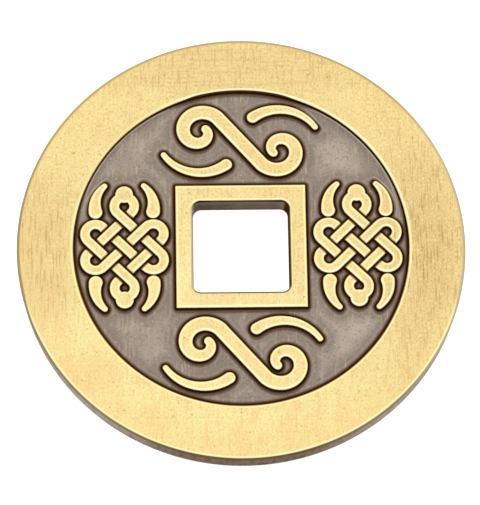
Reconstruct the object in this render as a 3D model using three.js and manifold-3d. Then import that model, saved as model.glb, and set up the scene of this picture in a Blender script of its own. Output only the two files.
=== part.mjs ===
// Chinese cash coin: a struck brass disc with a broad raised rim, a sunken field, a raised frame
// round the square hole, and raised scrollwork and knots on the four sides of the frame.
// Millimetres, +Z up. The coin lies on its reverse, with the origin under its centre.
import * as THREE from 'three';
import { mergeVertices } from 'three/addons/utils/BufferGeometryUtils.js';
import Module from 'manifold-3d';

const wasm = await Module();
wasm.setup();

// Coin body
const coinDiameter = 45;
const coinThickness = 2.6;
const rimWidth = 5.8;
const outerEdgeRound = 0.25;
const outerEdgeDraft = THREE.MathUtils.degToRad(3);
const holeWidth = 9.8;
const holeDraft = THREE.MathUtils.degToRad(2.5);
const holeCornerRadius = 0.7;
const holeEdgeRound = 0.2;
const frameBand = 1.8;
const frameCornerRadius = 0.2;

// Relief: how far the raised faces stand above the sunken fields, and how their walls are shaped
const obverseRelief = 0.5;
const reverseRelief = 0.4;
const wallDraft = THREE.MathUtils.degToRad(16);
const lipRound = 0.1;

// Ornaments
const ornamentClearance = 0.4;
const scrollSpread = 4;
const scrollStroke = 1.8;
const scrollTipStroke = 1.2;
const scrollEyeRadius = 0.65;
const scrollTurn = THREE.MathUtils.degToRad(345);
const cloudLeafStroke = 1.5;
const leafTipStroke = 0.9;
const leafGap = 0.45;
const cloudLeafStart = THREE.MathUtils.degToRad(126);
const cloudLeafTurn = THREE.MathUtils.degToRad(92);
const knotBand = 1.3;
const knotNotch = 0.3;
const knotLoopRadius = 1;
const knotDip = 0.22;
const knotBeadProud = 0.4;
const knotBuriedTurn = THREE.MathUtils.degToRad(20);
const knotLeafStart = THREE.MathUtils.degToRad(-12);
const knotLeafTurn = THREE.MathUtils.degToRad(60);

// Fineness of the facets
const roundSteps = 96;
const cornerSteps = 5;
const edgeSteps = 3;
const lipSteps = 2;
const capSteps = 4;
const mergeDistance = 1e-4;
const beadSteps = 20;
const voluteSteps = 24;
const cloudLeafSteps = 8;
const knotLeafSteps = 6;
const loopSteps = 6;
const turnSteps = 8;

// Sizes worked out from the ones above
const coinRadius = coinDiameter / 2;
const fieldRadius = coinRadius - rimWidth;
const frameHalf = holeWidth / 2 + frameBand;
const fieldTop = coinThickness - obverseRelief;
const fieldBottom = reverseRelief;
const ornamentInner = frameHalf + ornamentClearance;
const ornamentOuter = fieldRadius - ornamentClearance;
const knotDipRun = 0.75 * knotNotch;
const knotBeadRadius = knotBand / 2 + knotBeadProud;

// Finishes
const finish = (color, roughness, metalness) =>
  () => new THREE.MeshStandardMaterial({ color, roughness, metalness });
const brushedBrass = finish(0xf6dd98, 0.38, 0.9);
const darkPatina = finish(0x8c8076, 0.6, 0.5);

// Helpers

// Rounds a corner of a profile: from (0, -radius) to (radius, 0) as [inset, rise] pairs.
function quarterRound(radius, steps) {
  return Array.from({ length: steps + 1 }, (_, i) => {
    const turn = (i / steps) * (Math.PI / 2);
    return [radius * (1 - Math.cos(turn)), radius * (Math.sin(turn) - 1)];
  });
}

// A raised wall from its foot to its rounded lip, as [inset, rise] pairs.
function wallProfile(height) {
  const run = height * Math.tan(wallDraft);
  const lip = quarterRound(lipRound, lipSteps);
  return [[0, 0], ...lip.map(([inset, rise]) => [run + inset, height + rise])];
}

// A closed solid from its triangles: shared corners are merged and flattened faces are left out.
function closedGeometry(positions, triangles) {
  const loose = new THREE.BufferGeometry();
  loose.setAttribute('position', new THREE.Float32BufferAttribute(positions, 3));
  loose.setIndex(triangles);
  const merged = mergeVertices(loose, mergeDistance);
  const corners = merged.index.array;
  const kept = [];
  for (let i = 0; i < corners.length; i += 3) {
    const [a, b, c] = corners.slice(i, i + 3);
    if (a !== b && b !== c && c !== a) kept.push(a, b, c);
  }
  merged.setIndex(kept);
  return merged;
}

// Skins a row of rings of [x, y, z] points, each with as many points as the next. An endless row
// joins its last ring to its first, a capped row gets flat ends, and any other row ends in rings
// that are drawn in to nothing.
function skin(rings, { endless = false, capped = false } = {}) {
  const count = rings[0].length;
  const triangles = [];
  const rows = endless ? rings.length : rings.length - 1;
  for (let row = 0; row < rows; row += 1) {
    const next = (row + 1) % rings.length;
    for (let i = 0; i < count; i += 1) {
      const j = (i + 1) % count;
      const [a, b, c, d] = [row * count + i, row * count + j, next * count + j, next * count + i];
      triangles.push(a, b, c, a, c, d);
    }
  }
  if (capped) {
    const last = (rings.length - 1) * count;
    for (let i = 1; i < count - 1; i += 1) {
      triangles.push(0, i + 1, i, last, last + i, last + i + 1);
    }
  }
  return closedGeometry(rings.flat(2), triangles);
}

function toManifold(geometry) {
  const bare = new THREE.BufferGeometry();
  bare.setAttribute('position', geometry.attributes.position);
  bare.setIndex(geometry.index);
  const merged = mergeVertices(bare, mergeDistance);
  return new wasm.Manifold(new wasm.Mesh({
    numProp: 3,
    vertProperties: Float32Array.from(merged.attributes.position.array),
    triVerts: Uint32Array.from(merged.index.array),
  }));
}

function union(geometries) {
  const [first, ...rest] = geometries.map(toManifold);
  const mesh = rest.reduce((whole, part) => whole.add(part), first).getMesh();
  const geometry = new THREE.BufferGeometry();
  geometry.setAttribute('position', new THREE.Float32BufferAttribute(mesh.vertProperties, 3));
  geometry.setIndex(Array.from(mesh.triVerts));
  return geometry;
}

function piece(name, geometry, material) {
  const flat = geometry.toNonIndexed();
  flat.computeVertexNormals();
  const mesh = new THREE.Mesh(flat, material);
  mesh.name = name;
  return mesh;
}

// A circle of points that the rim and the field share, so that they meet face to face.
function circlePoints(radius) {
  return Array.from({ length: roundSteps }, (_, i) => {
    const angle = (i / roundSteps) * 2 * Math.PI;
    return [radius * Math.cos(angle), radius * Math.sin(angle)];
  });
}

// A square of points with rounded corners, counterclockwise from the right-hand side.
function squarePoints(half, cornerRadius) {
  const inner = half - cornerRadius;
  const corners = [[1, 1], [-1, 1], [-1, -1], [1, -1]];
  return corners.flatMap(([signX, signY], quarter) =>
    Array.from({ length: cornerSteps + 1 }, (_, i) => {
      const angle = (quarter + i / cornerSteps) * (Math.PI / 2);
      return [
        signX * inner + cornerRadius * Math.cos(angle),
        signY * inner + cornerRadius * Math.sin(angle),
      ];
    }));
}

// Coin body

// The rim: a profile that runs up the outer edge, across the obverse face, down the drafted wall to
// the field, past the field's edge and round the reverse in the same way. The outer edge is rounded
// at both faces and narrows towards the reverse.
function outerRim() {
  const ring = (radius, z) => circlePoints(radius).map(([x, y]) => [x, y, z]);
  const outside = (inset, z) => {
    const drop = Math.max(coinThickness - outerEdgeRound - z, 0);
    return ring(coinRadius - drop * Math.tan(outerEdgeDraft) - inset, z);
  };
  const edge = quarterRound(outerEdgeRound, edgeSteps);
  const obverse = wallProfile(obverseRelief);
  const reverse = wallProfile(reverseRelief);
  return skin([
    ...edge.map(([inset, rise]) => outside(inset, coinThickness + rise)),
    ...obverse.toReversed().map(([inset, rise]) => ring(fieldRadius + inset, fieldTop + rise)),
    ...reverse.map(([inset, rise]) => ring(fieldRadius + inset, fieldBottom - rise)),
    ...edge.toReversed().map(([inset, rise]) => outside(inset, -rise)),
  ], { endless: true });
}

// The field: the thin sunken web between the rim and the frame of the hole.
function fieldWeb() {
  const outline = new THREE.Shape(circlePoints(fieldRadius).map(([x, y]) => new THREE.Vector2(x, y)));
  const seat = squarePoints(frameHalf, frameCornerRadius).map(([x, y]) => new THREE.Vector2(x, y));
  outline.holes.push(new THREE.Path(seat.toReversed()));
  const web = new THREE.ExtrudeGeometry(outline, { depth: fieldTop - fieldBottom, bevelEnabled: false });
  web.translate(0, 0, fieldBottom);
  web.deleteAttribute('normal');
  web.deleteAttribute('uv');
  return mergeVertices(web, mergeDistance);
}

// The frame: a square collar through the coin, drafted outside and rounded into the hole, which has
// its full width at the obverse and narrows towards the reverse.
function holeFrame() {
  const outside = (inset, z) =>
    squarePoints(frameHalf - inset, Math.max(frameCornerRadius - inset, frameCornerRadius / 4))
      .map(([x, y]) => [x, y, z]);
  const inside = (inset, z) => {
    const half = holeWidth / 2 - (coinThickness - z) * Math.tan(holeDraft);
    return squarePoints(half + inset, holeCornerRadius + inset).map(([x, y]) => [x, y, z]);
  };
  const mouth = quarterRound(holeEdgeRound, edgeSteps);
  const obverse = wallProfile(obverseRelief);
  const reverse = wallProfile(reverseRelief);
  return skin([
    ...obverse.map(([inset, rise]) => outside(inset, fieldTop + rise)),
    ...mouth.toReversed().map(([inset, rise]) => inside(inset, coinThickness + rise)),
    ...mouth.map(([inset, rise]) => inside(inset, -rise)),
    ...reverse.toReversed().map(([inset, rise]) => outside(inset, fieldBottom - rise)),
  ], { endless: true });
}

// Ornaments

// A pen that records a centreline out of straight runs and arcs. Its dip lowers the top of the
// stroke from there on.
class Pen {
  constructor(x, y, heading) {
    Object.assign(this, { x, y, heading, dip: 0, marks: [] });
    this.mark();
  }

  mark() {
    this.marks.push({ x: this.x, y: this.y, heading: this.heading, dip: this.dip });
  }

  forward(length) {
    this.x += length * Math.cos(this.heading);
    this.y += length * Math.sin(this.heading);
    this.mark();
  }

  // Turns to the left by a positive turn and to the right by a negative one.
  arc(radius, turn, steps) {
    for (let i = 0; i < steps; i += 1) {
      const chord = 2 * radius * Math.sin(Math.abs(turn) / steps / 2);
      this.heading += turn / steps / 2;
      this.x += chord * Math.cos(this.heading);
      this.y += chord * Math.sin(this.heading);
      this.heading += turn / steps / 2;
      this.mark();
    }
  }
}

// Marks along an arc or spiral about a centre, from one angle and radius to another.
function spiralMarks(centre, startRadius, endRadius, startAngle, turn, steps) {
  const slope = (endRadius - startRadius) / turn;
  return Array.from({ length: steps + 1 }, (_, i) => {
    const angle = startAngle + (turn * i) / steps;
    const radius = startRadius + (slope * turn * i) / steps;
    const along = Math.atan2(radius, slope) + (turn < 0 ? Math.PI : 0);
    return {
      x: centre[0] + radius * Math.cos(angle),
      y: centre[1] + radius * Math.sin(angle),
      heading: angle + along,
      dip: 0,
    };
  });
}

const halfTurn = ({ heading }) => heading + Math.PI;
const turnedOver = (marks) => marks.toReversed().map((mark) => ({ ...mark, heading: halfTurn(mark) }));
const halfTurned = (marks) =>
  marks.map((mark) => ({ ...mark, x: -mark.x, y: -mark.y, heading: halfTurn(mark) }));
const mirrored = (marks) =>
  marks.map((mark) => ({ ...mark, x: -mark.x, heading: Math.PI - mark.heading }));
const shifted = (marks, dx) => marks.map((mark) => ({ ...mark, x: mark.x + dx }));

// One raised stroke standing on the field: drafted walls, rounded lips and, unless they are buried
// in another stroke, round ends. The width is the stroke's width at its foot.
function stroke(marks, widthAt, roundEnds = true) {
  const rib = (mark, width, lean) => {
    const profile = wallProfile(obverseRelief - mark.dip);
    const side = (angle) => profile.map(([inset, rise]) => [
      mark.x + (width / 2 - inset) * Math.cos(angle),
      mark.y + (width / 2 - inset) * Math.sin(angle),
      fieldTop + rise,
    ]);
    const right = side(mark.heading - Math.PI / 2 + lean);
    const left = side(mark.heading + Math.PI / 2 - lean);
    return [...left, ...right.toReversed()];
  };
  const body = marks.map((mark, i) => rib(mark, widthAt(i / (marks.length - 1)), 0));
  if (!roundEnds) return skin(body, { capped: true });
  const leans = Array.from({ length: capSteps }, (_, i) => ((i + 1) / capSteps) * (Math.PI / 2));
  return skin([
    ...leans.toReversed().map((lean) => rib(marks[0], widthAt(0), -lean)),
    ...body,
    ...leans.map((lean) => rib(marks.at(-1), widthAt(1), lean)),
  ]);
}

const swelling = (end, middle) => (share) => THREE.MathUtils.lerp(end, middle, Math.sin(Math.PI * share));
const tapering = (thick, thin) => (share) => THREE.MathUtils.lerp(thick, thin, share);

// The two volutes of a cloud scroll stand side by side: the left one against the rim with a leaf
// under it, the right one against the frame with a leaf over it.
function cloudLayout() {
  const leafRoom = leafGap + cloudLeafStroke;
  const rightReach = ((ornamentOuter - leafRoom) ** 2 - scrollSpread ** 2 - ornamentInner ** 2)
    / (2 * (ornamentInner + ornamentOuter - leafRoom));
  const leftReach = (ornamentOuter ** 2 - scrollSpread ** 2 - (ornamentInner + leafRoom) ** 2)
    / (2 * (ornamentOuter + ornamentInner + leafRoom));
  const reach = Math.min(rightReach, leftReach);
  return {
    reach,
    left: [-scrollSpread, Math.sqrt((ornamentOuter - reach) ** 2 - scrollSpread ** 2)],
    right: [scrollSpread, ornamentInner + reach],
  };
}

// The scroll runs out of the left volute, down a straight link and into the right volute.
function cloudScroll({ reach, left, right }) {
  const radius = reach - scrollStroke / 2;
  const [dx, dy] = [right[0] - left[0], right[1] - left[1]];
  const leave = Math.atan2(dy, dx) + Math.acos((2 * radius) / Math.hypot(dx, dy));
  const volute = (centre, angle) =>
    spiralMarks(centre, radius, scrollEyeRadius, angle, scrollTurn, voluteSteps);
  return [...turnedOver(volute(left, leave)), ...volute(right, leave + Math.PI)];
}

// A leaf hugs a volute at a set gap, thick at its inner end and thin at its tip.
function cloudLeaf({ reach }, centre, startAngle) {
  const radius = reach + leafGap + cloudLeafStroke / 2;
  return spiralMarks(centre, radius, radius, startAngle, -cloudLeafTurn, cloudLeafSteps);
}

function cloudStrokes() {
  const layout = cloudLayout();
  return {
    scroll: cloudScroll(layout),
    upper_leaf: cloudLeaf(layout, layout.right, cloudLeafStart),
    lower_leaf: cloudLeaf(layout, layout.left, cloudLeafStart + Math.PI),
  };
}

// The endless knot: a band that runs three times each way across a diamond, turning back on itself
// at the sides and looping at the top and bottom. The pitch is the one at which its side turns, whose
// centres lie one and a half pitches out along the diagonal, fill the width between frame and rim.
// Its beads sit on the loops, at least as far out as the edge of the frame.
function knotLayout() {
  const halfWidth = (ornamentOuter - ornamentInner) / 2;
  const bandShare = (knotBand / 2 + knotNotch) / Math.SQRT2 + knotBand / 2;
  const pitch = (halfWidth - bandShare) / (1.5 / Math.SQRT2 + 0.5);
  const x = (ornamentInner + ornamentOuter) / 2;
  const loopY = pitch * Math.SQRT2 + knotLoopRadius * Math.SQRT2;
  const leafInner = knotLoopRadius + knotBand / 2 + leafGap;
  const leafOuter = ornamentOuter - Math.hypot(x, loopY);
  const beadY = Math.max(loopY + knotLoopRadius, frameHalf - knotBeadRadius);
  return { pitch, edge: pitch + knotBand / 2 + knotNotch, x, loopY, beadY, leafInner, leafOuter };
}

// Half of the band, from inside the bead at the top to inside the bead at the bottom. It dips under
// the other half at every second crossing.
function knotBandMarks({ pitch, edge, loopY }, dipsFirst) {
  const loopTurn = THREE.MathUtils.degToRad(135) - knotBuriedTurn;
  const startX = knotLoopRadius * Math.sin(knotBuriedTurn);
  const startY = loopY + knotLoopRadius * Math.cos(knotBuriedTurn);
  const pen = new Pen(startX, startY, -knotBuriedTurn);
  const outerDips = [dipsFirst, !dipsFirst, dipsFirst];
  const middleDips = outerDips.map((dips) => !dips);
  // A straight run: from the last bend to the first crossing, over or under three, to the next bend.
  const run = (lead, tail, dips) => {
    let gap = lead;
    for (const under of dips) {
      if (under) {
        pen.forward(gap - knotBand / 2 - knotDipRun);
        pen.dip = knotDip;
        pen.forward(knotDipRun);
        pen.forward(knotBand);
        pen.dip = 0;
        pen.forward(knotDipRun);
      }
      gap = under ? pitch - knotBand / 2 - knotDipRun : gap + pitch;
    }
    pen.forward(gap - pitch + tail);
  };
  pen.arc(knotLoopRadius, -loopTurn, loopSteps);
  run(knotLoopRadius, edge - pitch, outerDips);
  pen.arc(pitch / 2, Math.PI, turnSteps);
  run(edge - pitch, edge - pitch, middleDips);
  pen.arc(pitch / 2, -Math.PI, turnSteps);
  run(edge - pitch, knotLoopRadius, outerDips);
  pen.arc(knotLoopRadius, loopTurn, loopSteps);
  return pen.marks;
}

// A round bead crowns each loop of the knot.
function knotBead(y) {
  const profile = wallProfile(obverseRelief);
  const ring = ([inset, rise]) => Array.from({ length: beadSteps }, (_, i) => {
    const angle = (i / beadSteps) * 2 * Math.PI;
    const radius = knotBeadRadius - inset;
    return [radius * Math.cos(angle), y + radius * Math.sin(angle), fieldTop + rise];
  });
  return skin(profile.map(ring), { capped: true });
}

function knot(layout) {
  const width = () => knotBand;
  return union([
    stroke(knotBandMarks(layout, true), width, false),
    stroke(mirrored(knotBandMarks(layout, false)), width, false),
    knotBead(layout.beadY),
    knotBead(-layout.beadY),
  ]);
}

// Four leaves stand round the two loops of a knot like brackets. They fill what room the loops leave
// in the ring.
function knotLeaves({ loopY, leafInner, leafOuter }) {
  const radius = (leafInner + leafOuter) / 2;
  const upper = spiralMarks([0, loopY], radius, radius, knotLeafStart, knotLeafTurn, knotLeafSteps);
  const lower = halfTurned(upper);
  return { upper_right: upper, upper_left: mirrored(upper), lower_left: lower, lower_right: mirrored(lower) };
}

const coin = new THREE.Group();
coin.add(piece('outer_rim', outerRim(), brushedBrass()));
coin.add(piece('field_web', fieldWeb(), darkPatina()));
coin.add(piece('hole_frame', holeFrame(), brushedBrass()));

const widths = {
  scroll: swelling(scrollTipStroke, scrollStroke),
  upper_leaf: tapering(cloudLeafStroke, leafTipStroke),
  lower_leaf: tapering(cloudLeafStroke, leafTipStroke),
};
for (const [name, marks] of Object.entries(cloudStrokes())) {
  coin.add(piece(`top_cloud_${name}`, stroke(marks, widths[name]), brushedBrass()));
  coin.add(piece(`bottom_cloud_${name}`, stroke(halfTurned(marks), widths[name]), brushedBrass()));
}

const knotPlace = knotLayout();
for (const [side, x] of [['left', -knotPlace.x], ['right', knotPlace.x]]) {
  const knotGeometry = knot(knotPlace);
  knotGeometry.translate(x, 0, 0);
  coin.add(piece(`${side}_knot`, knotGeometry, brushedBrass()));
  const leafWidth = tapering(knotPlace.leafOuter - knotPlace.leafInner, leafTipStroke);
  for (const [name, marks] of Object.entries(knotLeaves(knotPlace))) {
    const leaf = stroke(shifted(marks, x), leafWidth);
    coin.add(piece(`${side}_knot_leaf_${name}`, leaf, brushedBrass()));
  }
}

export default coin;
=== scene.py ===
"""The looks of the cash coin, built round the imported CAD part. Metres, in the row frame."""
import math

import bmesh
import bpy
import numpy as np
from mathutils import Matrix, Vector


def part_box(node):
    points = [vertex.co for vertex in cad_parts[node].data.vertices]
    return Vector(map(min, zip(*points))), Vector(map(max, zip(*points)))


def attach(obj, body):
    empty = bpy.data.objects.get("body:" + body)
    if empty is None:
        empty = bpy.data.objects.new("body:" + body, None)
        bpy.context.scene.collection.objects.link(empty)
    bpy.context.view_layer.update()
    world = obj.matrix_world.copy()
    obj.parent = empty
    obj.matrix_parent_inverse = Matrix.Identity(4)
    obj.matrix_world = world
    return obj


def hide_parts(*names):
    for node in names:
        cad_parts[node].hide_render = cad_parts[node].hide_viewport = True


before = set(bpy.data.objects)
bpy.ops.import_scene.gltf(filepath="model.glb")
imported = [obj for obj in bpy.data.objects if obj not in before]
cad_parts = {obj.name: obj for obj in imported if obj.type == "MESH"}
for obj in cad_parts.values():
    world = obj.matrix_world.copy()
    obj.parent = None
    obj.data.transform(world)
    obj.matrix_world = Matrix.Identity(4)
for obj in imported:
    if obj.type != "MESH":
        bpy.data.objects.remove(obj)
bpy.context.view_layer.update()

MM = 0.001
TAU = 2 * math.pi


def box_in_mm(node):
    low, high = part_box(node)
    return [v / MM for v in low], [v / MM for v in high]


# Sizes that the frame gives, in millimetres
COIN_RADIUS = box_in_mm("outer_rim")[1][0]
THICKNESS = box_in_mm("outer_rim")[1][2]
FIELD_RADIUS = box_in_mm("field_web")[1][0]
FIELD_BOTTOM = box_in_mm("field_web")[0][2]
FIELD_TOP = box_in_mm("field_web")[1][2]
FRAME_HALF = box_in_mm("hole_frame")[1][0]
RELIEF = THICKNESS - FIELD_TOP

# Sizes of the part's forms, in millimetres
EDGE_ROUND = 0.25
EDGE_BEVEL = 0.12
EDGE_DRAFT = math.radians(3)
HOLE_HALF = 4.9
HOLE_DRAFT = math.radians(2.5)
HOLE_CORNER = 0.85
HOLE_ROUND = 0.2
FRAME_CORNER = 0.2
WALL_DRAFT = math.radians(16)
LIP_ROUND = 0.13
LIP_BEVEL = 0.16
LIP_TILT = math.radians(8)
RIM_LIP_ROUND = 0.16
FLAT_MARGIN = 0.03
ORNAMENT_CLEARANCE = 0.4
SCROLL_SPREAD = 4
SCROLL_STROKE = 1.8
SCROLL_TIP = 1.2
SCROLL_EYE = 0.65
SCROLL_TURN = math.radians(345)
LEAF_GAP = 0.45
LEAF_TIP = 0.9
CLOUD_LEAF = 1.5
CLOUD_LEAF_START = math.radians(126)
CLOUD_LEAF_TURN = math.radians(92)
KNOT_BAND = 1.3
KNOT_NOTCH = 0.3
KNOT_LOOP = 1
KNOT_DIP = 0.22
DIP_EASE = 0.2
DIP_MARGIN = 0.03
KNOT_BEAD = KNOT_BAND / 2 + 0.4
KNOT_BURIED = math.radians(20)
KNOT_LEAF_START = math.radians(-12)
KNOT_LEAF_TURN = math.radians(60)
COVE_REACH = 0.18
COVE_RISE = 0.07
# Widens the field's dark wall feet, partly patina and partly painted shade, on the far side of each wall;
# SHADOW_SHIFT places the painted shadow on the near side
FOOT_PATINA_AND_SHADE_SHIFT = 0.09
SHADOW_SHIFT = 0.3
FIELD_TUCK = 0.05
FIELD_WAVE = 0.012
WAVE_CALM = 1.5
GAP_REACH = 1

# Fineness of the meshes
ROUND_STEPS = 320
CORNER_STEPS = 10
EDGE_STEPS = 6
LIP_STEPS = 4
CAP_STEPS = 10
BEAD_STEPS = 48
VOLUTE_STEPS = 72
LEAF_STEPS = 24
LOOP_STEPS = 16
TURN_STEPS = 20
DIP_STEPS = 6
FIELD_AROUND = 640
FIELD_RINGS = 110
WELD = 1e-8
TINY = 1e-12
SHARP = math.radians(38)

# Floor, lamp and world: sizes in metres, and brightness where 1 is white
FLOOR_HALF = 3.0
FLOOR_TONE = (0.82, 0.82, 0.82, 1)
FLOOR_GLOW = 0.75
WORLD_LEVEL = 0.65
LAMP_PLACE = (-0.08, 0.4, 0.4)
LAMP_SIZE = 0.3
LAMP_RADIANCE = 3.0

# Camera, in degrees, in millimetres and in the photograph's pixels
CAMERA_ANGLES = (-3.26, 69.15, 2.5)
CAMERA_AIM = (-0.14, -0.74)
CAMERA_DISTANCE = 392
CAMERA_CLIP = 10
FOCAL_PIXELS = 3915
LONG_SIDE = 505
SENSOR = 36

ORNAMENT_INNER = FRAME_HALF + ORNAMENT_CLEARANCE
ORNAMENT_OUTER = FIELD_RADIUS - ORNAMENT_CLEARANCE


# Profiles and rings

def quarter_round(radius, steps):
    """A rounded corner as (inset, rise) pairs, from the wall to the face."""
    turns = [i / steps * math.pi / 2 for i in range(steps + 1)]
    return [(radius * (1 - math.cos(t)), radius * (math.sin(t) - 1)) for t in turns]


def wall_profile(height, lip_round=LIP_ROUND):
    """A drafted wall from its foot over its worn lip to just inside the flat, as (inset, rise) pairs."""
    run = height * math.tan(WALL_DRAFT)
    turns = [i / LIP_STEPS * (math.pi / 2 - LIP_TILT) for i in range(LIP_STEPS + 1)]
    arc_top = height - LIP_BEVEL * math.tan(LIP_TILT)
    lip = [(run + lip_round * (1 - math.cos(t)), arc_top + lip_round * (math.sin(t) - math.cos(LIP_TILT)))
           for t in turns]
    flat = lip[-1][0] + LIP_BEVEL
    return [(0, 0), *lip, (flat, height), (flat + FLAT_MARGIN, height)]


def circle(radius, z):
    angles = np.arange(ROUND_STEPS) / ROUND_STEPS * TAU
    return np.stack([radius * np.cos(angles), radius * np.sin(angles), np.full(ROUND_STEPS, z)], 1)


def rounded_square(half, corner, z):
    points = []
    for quarter, (sx, sy) in enumerate([(1, 1), (-1, 1), (-1, -1), (1, -1)]):
        for i in range(CORNER_STEPS + 1):
            angle = (quarter + i / CORNER_STEPS) * math.pi / 2
            points.append((sx * (half - corner) + corner * math.cos(angle),
                           sy * (half - corner) + corner * math.sin(angle), z))
    return np.array(points)


def skin(rings, endless=False, capped=False):
    """Joins rings of as many points each, all in millimetres, into (points, faces)."""
    count = len(rings[0])
    rows = len(rings) if endless else len(rings) - 1
    faces = []
    for row in range(rows):
        a, b = row * count, (row + 1) % len(rings) * count
        faces += [(a + i, a + (i + 1) % count, b + (i + 1) % count, b + i) for i in range(count)]
    if capped:
        last = (len(rings) - 1) * count
        faces += [tuple(range(count))[::-1], tuple(range(last, last + count))]
    return np.concatenate(rings), faces


def shade(mesh):
    mesh.shade_smooth()
    mesh.set_sharp_from_angle(angle=SHARP)


def make_object(name, form, welded=True):
    """An object of one outward, smoothly shaded mesh."""
    points, faces = form
    mesh = bpy.data.meshes.new(name)
    mesh.from_pydata((np.asarray(points) * MM).tolist(), [], faces)
    work = bmesh.new()
    work.from_mesh(mesh)
    if welded:
        bmesh.ops.remove_doubles(work, verts=work.verts, dist=WELD)
    bmesh.ops.recalc_face_normals(work, faces=work.faces)
    work.to_mesh(mesh)
    work.free()
    shade(mesh)
    piece = bpy.data.objects.new(name, mesh)
    bpy.context.scene.collection.objects.link(piece)
    return piece


def united(pieces):
    """The first piece after it has taken in the others."""
    whole, *others = pieces
    for other in others:
        union = whole.modifiers.new("union", "BOOLEAN")
        union.operation = "UNION"
        union.solver = "MANIFOLD"
        union.object = other
    graph = bpy.context.evaluated_depsgraph_get()
    mesh = bpy.data.meshes.new_from_object(whole.evaluated_get(graph))
    whole.modifiers.clear()
    whole.data = mesh
    for other in others:
        bpy.data.objects.remove(other)
    shade(mesh)
    return whole


# Strokes. A mark is (x, y, heading, dip).

class Pen:
    """Records a centreline out of straight runs and arcs."""

    def __init__(self, x, y, heading):
        self.x, self.y, self.heading, self.dip = x, y, heading, 0
        self.marks = []
        self.mark()

    def mark(self):
        self.marks.append((self.x, self.y, self.heading, self.dip))

    def forward(self, length):
        self.x += length * math.cos(self.heading)
        self.y += length * math.sin(self.heading)
        self.mark()

    def arc(self, radius, turn, steps):
        for _ in range(steps):
            chord = 2 * radius * math.sin(abs(turn) / steps / 2)
            self.heading += turn / steps / 2
            self.x += chord * math.cos(self.heading)
            self.y += chord * math.sin(self.heading)
            self.heading += turn / steps / 2
            self.mark()


def spiral(centre, start_radius, end_radius, start_angle, turn, steps):
    slope = (end_radius - start_radius) / turn
    marks = []
    for i in range(steps + 1):
        angle = start_angle + turn * i / steps
        radius = start_radius + slope * turn * i / steps
        heading = angle + math.atan2(radius, slope) + (math.pi if turn < 0 else 0)
        marks.append((centre[0] + radius * math.cos(angle), centre[1] + radius * math.sin(angle), heading, 0))
    return marks


def turned_over(marks):
    return [(x, y, heading + math.pi, dip) for x, y, heading, dip in reversed(marks)]


def half_turned(marks):
    return [(-x, -y, heading + math.pi, dip) for x, y, heading, dip in marks]


def mirrored(marks):
    return [(-x, y, math.pi - heading, dip) for x, y, heading, dip in marks]


def shifted(marks, dx):
    return [(x + dx, y, heading, dip) for x, y, heading, dip in marks]


def stroke(marks, widths, round_ends=True):
    """One raised stroke on the field, as (points, faces). Widths are at the foot."""
    def rib(mark, width, lean):
        x, y, heading, dip = mark
        profile = wall_profile(RELIEF - dip)

        def side(angle):
            return [(x + (width / 2 - inset) * math.cos(angle),
                     y + (width / 2 - inset) * math.sin(angle), FIELD_TOP + rise) for inset, rise in profile]
        right = side(heading - math.pi / 2 + lean)
        left = side(heading + math.pi / 2 - lean)
        return np.array(left + right[::-1])
    ribs = [rib(mark, width, 0) for mark, width in zip(marks, widths)]
    if not round_ends:
        return skin(ribs, capped=True)
    leans = [(i + 1) / CAP_STEPS * math.pi / 2 for i in range(CAP_STEPS)]
    first = [rib(marks[0], widths[0], -lean) for lean in reversed(leans)]
    last = [rib(marks[-1], widths[-1], lean) for lean in leans]
    return skin(first + ribs + last)


def shares(marks):
    return [i / (len(marks) - 1) for i in range(len(marks))]


def swelling(marks, end, middle):
    return [end + (middle - end) * math.sin(math.pi * share) for share in shares(marks)]


def tapering(marks, thick, thin):
    return [thick + (thin - thick) * share for share in shares(marks)]


def cloud_strokes():
    """Marks and widths of the cloud over the hole, by the last word of the node's name."""
    room = LEAF_GAP + CLOUD_LEAF
    outer, inner, spread = ORNAMENT_OUTER, ORNAMENT_INNER, SCROLL_SPREAD
    right_reach = ((outer - room) ** 2 - spread ** 2 - inner ** 2) / (2 * (inner + outer - room))
    left_reach = (outer ** 2 - spread ** 2 - (inner + room) ** 2) / (2 * (outer + inner + room))
    reach = min(right_reach, left_reach)
    left = (-spread, math.sqrt((outer - reach) ** 2 - spread ** 2))
    right = (spread, inner + reach)
    radius = reach - SCROLL_STROKE / 2
    dx, dy = right[0] - left[0], right[1] - left[1]
    leave = math.atan2(dy, dx) + math.acos(2 * radius / math.hypot(dx, dy))
    left_volute = spiral(left, radius, SCROLL_EYE, leave, SCROLL_TURN, VOLUTE_STEPS)
    right_volute = spiral(right, radius, SCROLL_EYE, leave + math.pi, SCROLL_TURN, VOLUTE_STEPS)
    scroll = turned_over(left_volute) + right_volute
    bend = reach + LEAF_GAP + CLOUD_LEAF / 2
    upper = spiral(right, bend, bend, CLOUD_LEAF_START, -CLOUD_LEAF_TURN, LEAF_STEPS)
    lower = spiral(left, bend, bend, CLOUD_LEAF_START + math.pi, -CLOUD_LEAF_TURN, LEAF_STEPS)
    return {
        "scroll": (scroll, swelling(scroll, SCROLL_TIP, SCROLL_STROKE)),
        "upper_leaf": (upper, tapering(upper, CLOUD_LEAF, LEAF_TIP)),
        "lower_leaf": (lower, tapering(lower, CLOUD_LEAF, LEAF_TIP)),
    }


def knot_layout():
    half_width = (ORNAMENT_OUTER - ORNAMENT_INNER) / 2
    band_share = (KNOT_BAND / 2 + KNOT_NOTCH) / math.sqrt(2) + KNOT_BAND / 2
    pitch = (half_width - band_share) / (1.5 / math.sqrt(2) + 0.5)
    x = (ORNAMENT_INNER + ORNAMENT_OUTER) / 2
    loop_y = (pitch + KNOT_LOOP) * math.sqrt(2)
    bead_y = max(loop_y + KNOT_LOOP, FRAME_HALF - KNOT_BEAD)
    return pitch, x, loop_y, bead_y


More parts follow.
